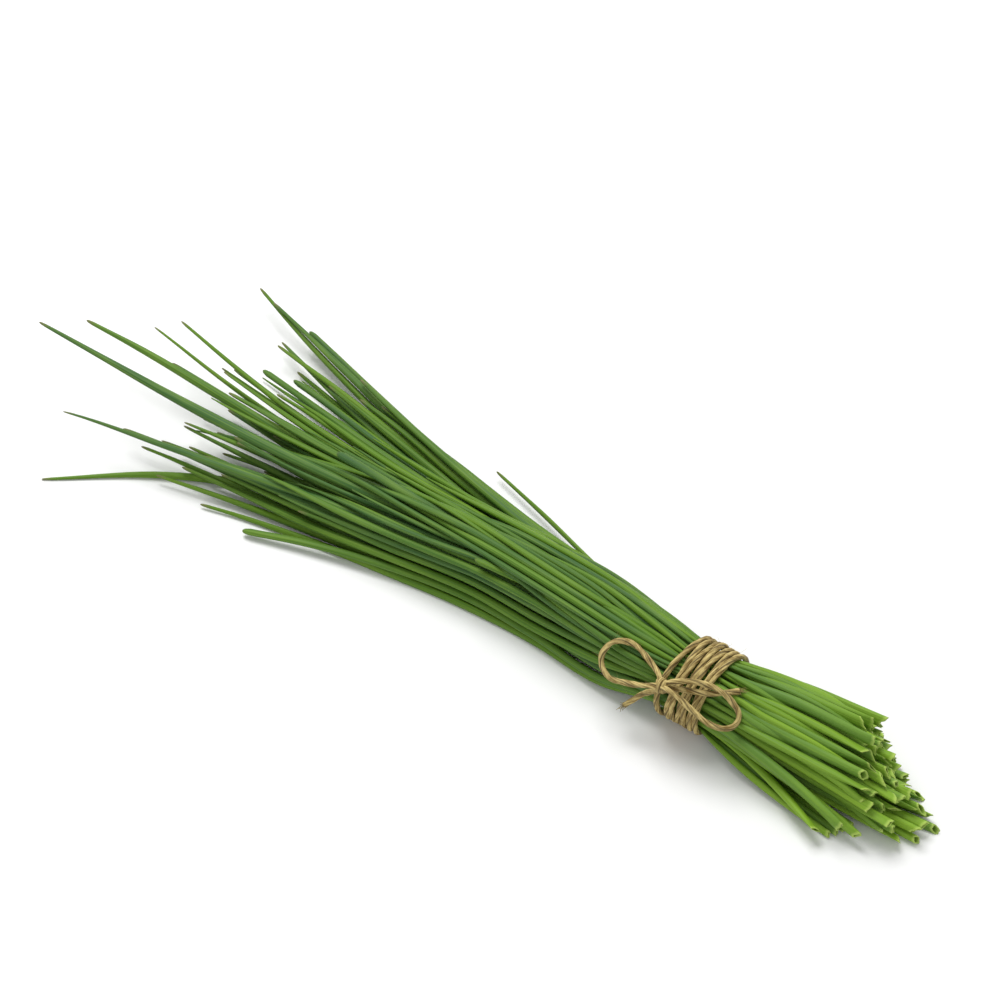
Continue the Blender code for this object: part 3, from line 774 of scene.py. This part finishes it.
def addFibre(bm, grooveShade, start, direction, length, thickness):
    bendTo = anyWay() * fibre["curl"]
    points = [start + direction * length * t + bendTo * length * t * t for t in fibre["points"]]
    line = np.array([tuple(point) for point in points])
    _, sides, tops = sidesAlong(line)

    def place(around, row):
        angle = 2 * math.pi * around
        size = thickness * (1 - fibre["taper"] * row)
        spot = line[row] + size * (sides[row] * math.cos(angle) + tops[row] * math.sin(angle))
        spot[2] = max(spot[2], fibre["lowest"])
        return Vector(spot), 0.0

    gridTube(bm, fibre["sides"], len(line), [grooveShade], place)


bm = bmesh.new()
grooveShade = bm.verts.layers.float.new("grooveShade")
wrapLine = fromTie(wrapPoints)
bowLine = np.concatenate([fromTie(points) for points, _ in cordRoutes.values()])
for index in range(fuzz["count"]):
    line = wrapLine if index % 3 else bowLine  # one in three on the bow
    spot = Vector(line[chance.randrange(len(line))])
    if spot.z < fuzz["lowest"]:
        continue
    out = anyWay()
    out.z = abs(out.z)
    out.normalize()
    length = chance.uniform(*fuzz["length"])
    addFibre(bm, grooveShade, spot + out * fuzz["from"], out, length, fuzz["thickness"])
fuzzPiece = finishMesh(bm, "juteFuzz", juteMaterial)
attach(fuzzPiece, "root")

# frayed ends of the tails
frayed = {
    "count": 16,
    "thickness": 0.13 * mm,
    "length": (0.95 * mm, 1.9 * mm),
    "spread": 0.22 * mm,
    "rooted": 0.6 * mm,  # before the end
    "splay": 0.16,
}
for name, key in (("frayLeft", "tailLeft"), ("frayRight", "tailRight")):
    before, end = [Vector(point) for point in fromTie(bow[key][-2:])]
    onward = (end - before).normalized()
    bm = bmesh.new()
    grooveShade = bm.verts.layers.float.new("grooveShade")
    for _ in range(frayed["count"]):
        spread = anyWay()
        start = end + spread * frayed["spread"] - onward * frayed["rooted"]
        direction = (onward + spread * frayed["splay"]).normalized()
        length = chance.uniform(*frayed["length"])
        addFibre(bm, grooveShade, start, direction, length, frayed["thickness"])
    piece = finishMesh(bm, name, juteMaterial)
    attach(piece, "root")
print("fibres made")


# floor and light
studio = {
    "floor": (0.9, 0.9, 0.9, 1),
    "floorRoughness": 0.9,
    "floorSize": 6.0,
    "world": 0.52,
    "key": {"power": 14.0, "size": 0.7, "place": (-0.48, 0.32, 1.14)},
    "fill": {"power": 1.5, "size": 1.4, "place": (0.5, -0.9, 0.9)},
}
floorFinish = Finish("floor", Base_Color=studio["floor"], Roughness=studio["floorRoughness"])
bm = bmesh.new()
bmesh.ops.create_grid(bm, x_segments=1, y_segments=1, size=studio["floorSize"] / 2)
floor = finishMesh(bm, "floor", floorFinish.material)
floor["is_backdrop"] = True
for name in ("key", "fill"):
    made = bpy.data.lights.new(name, "AREA")
    made.shape = "SQUARE"
    made.size = studio[name]["size"]
    made.energy = studio[name]["power"]
    lamp = bpy.data.objects.new(name, made)
    place = Vector(studio[name]["place"])
    lamp.location = place
    lamp.rotation_euler = (-place).to_track_quat("-Z", "Y").to_euler()
    bpy.context.scene.collection.objects.link(lamp)
world = bpy.data.worlds.new("studio")
world.use_nodes = True
world.node_tree.nodes["Background"].inputs["Color"].default_value = (1, 1, 1, 1)
world.node_tree.nodes["Background"].inputs["Strength"].default_value = studio["world"]
bpy.context.scene.world = world
bpy.context.scene.view_settings.view_transform = "Standard"
print("studio ready")

sizes = {"cad": [list(corner) for corner in cadBox], "visual": [list(corner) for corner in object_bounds()]}
print("sizes kept")
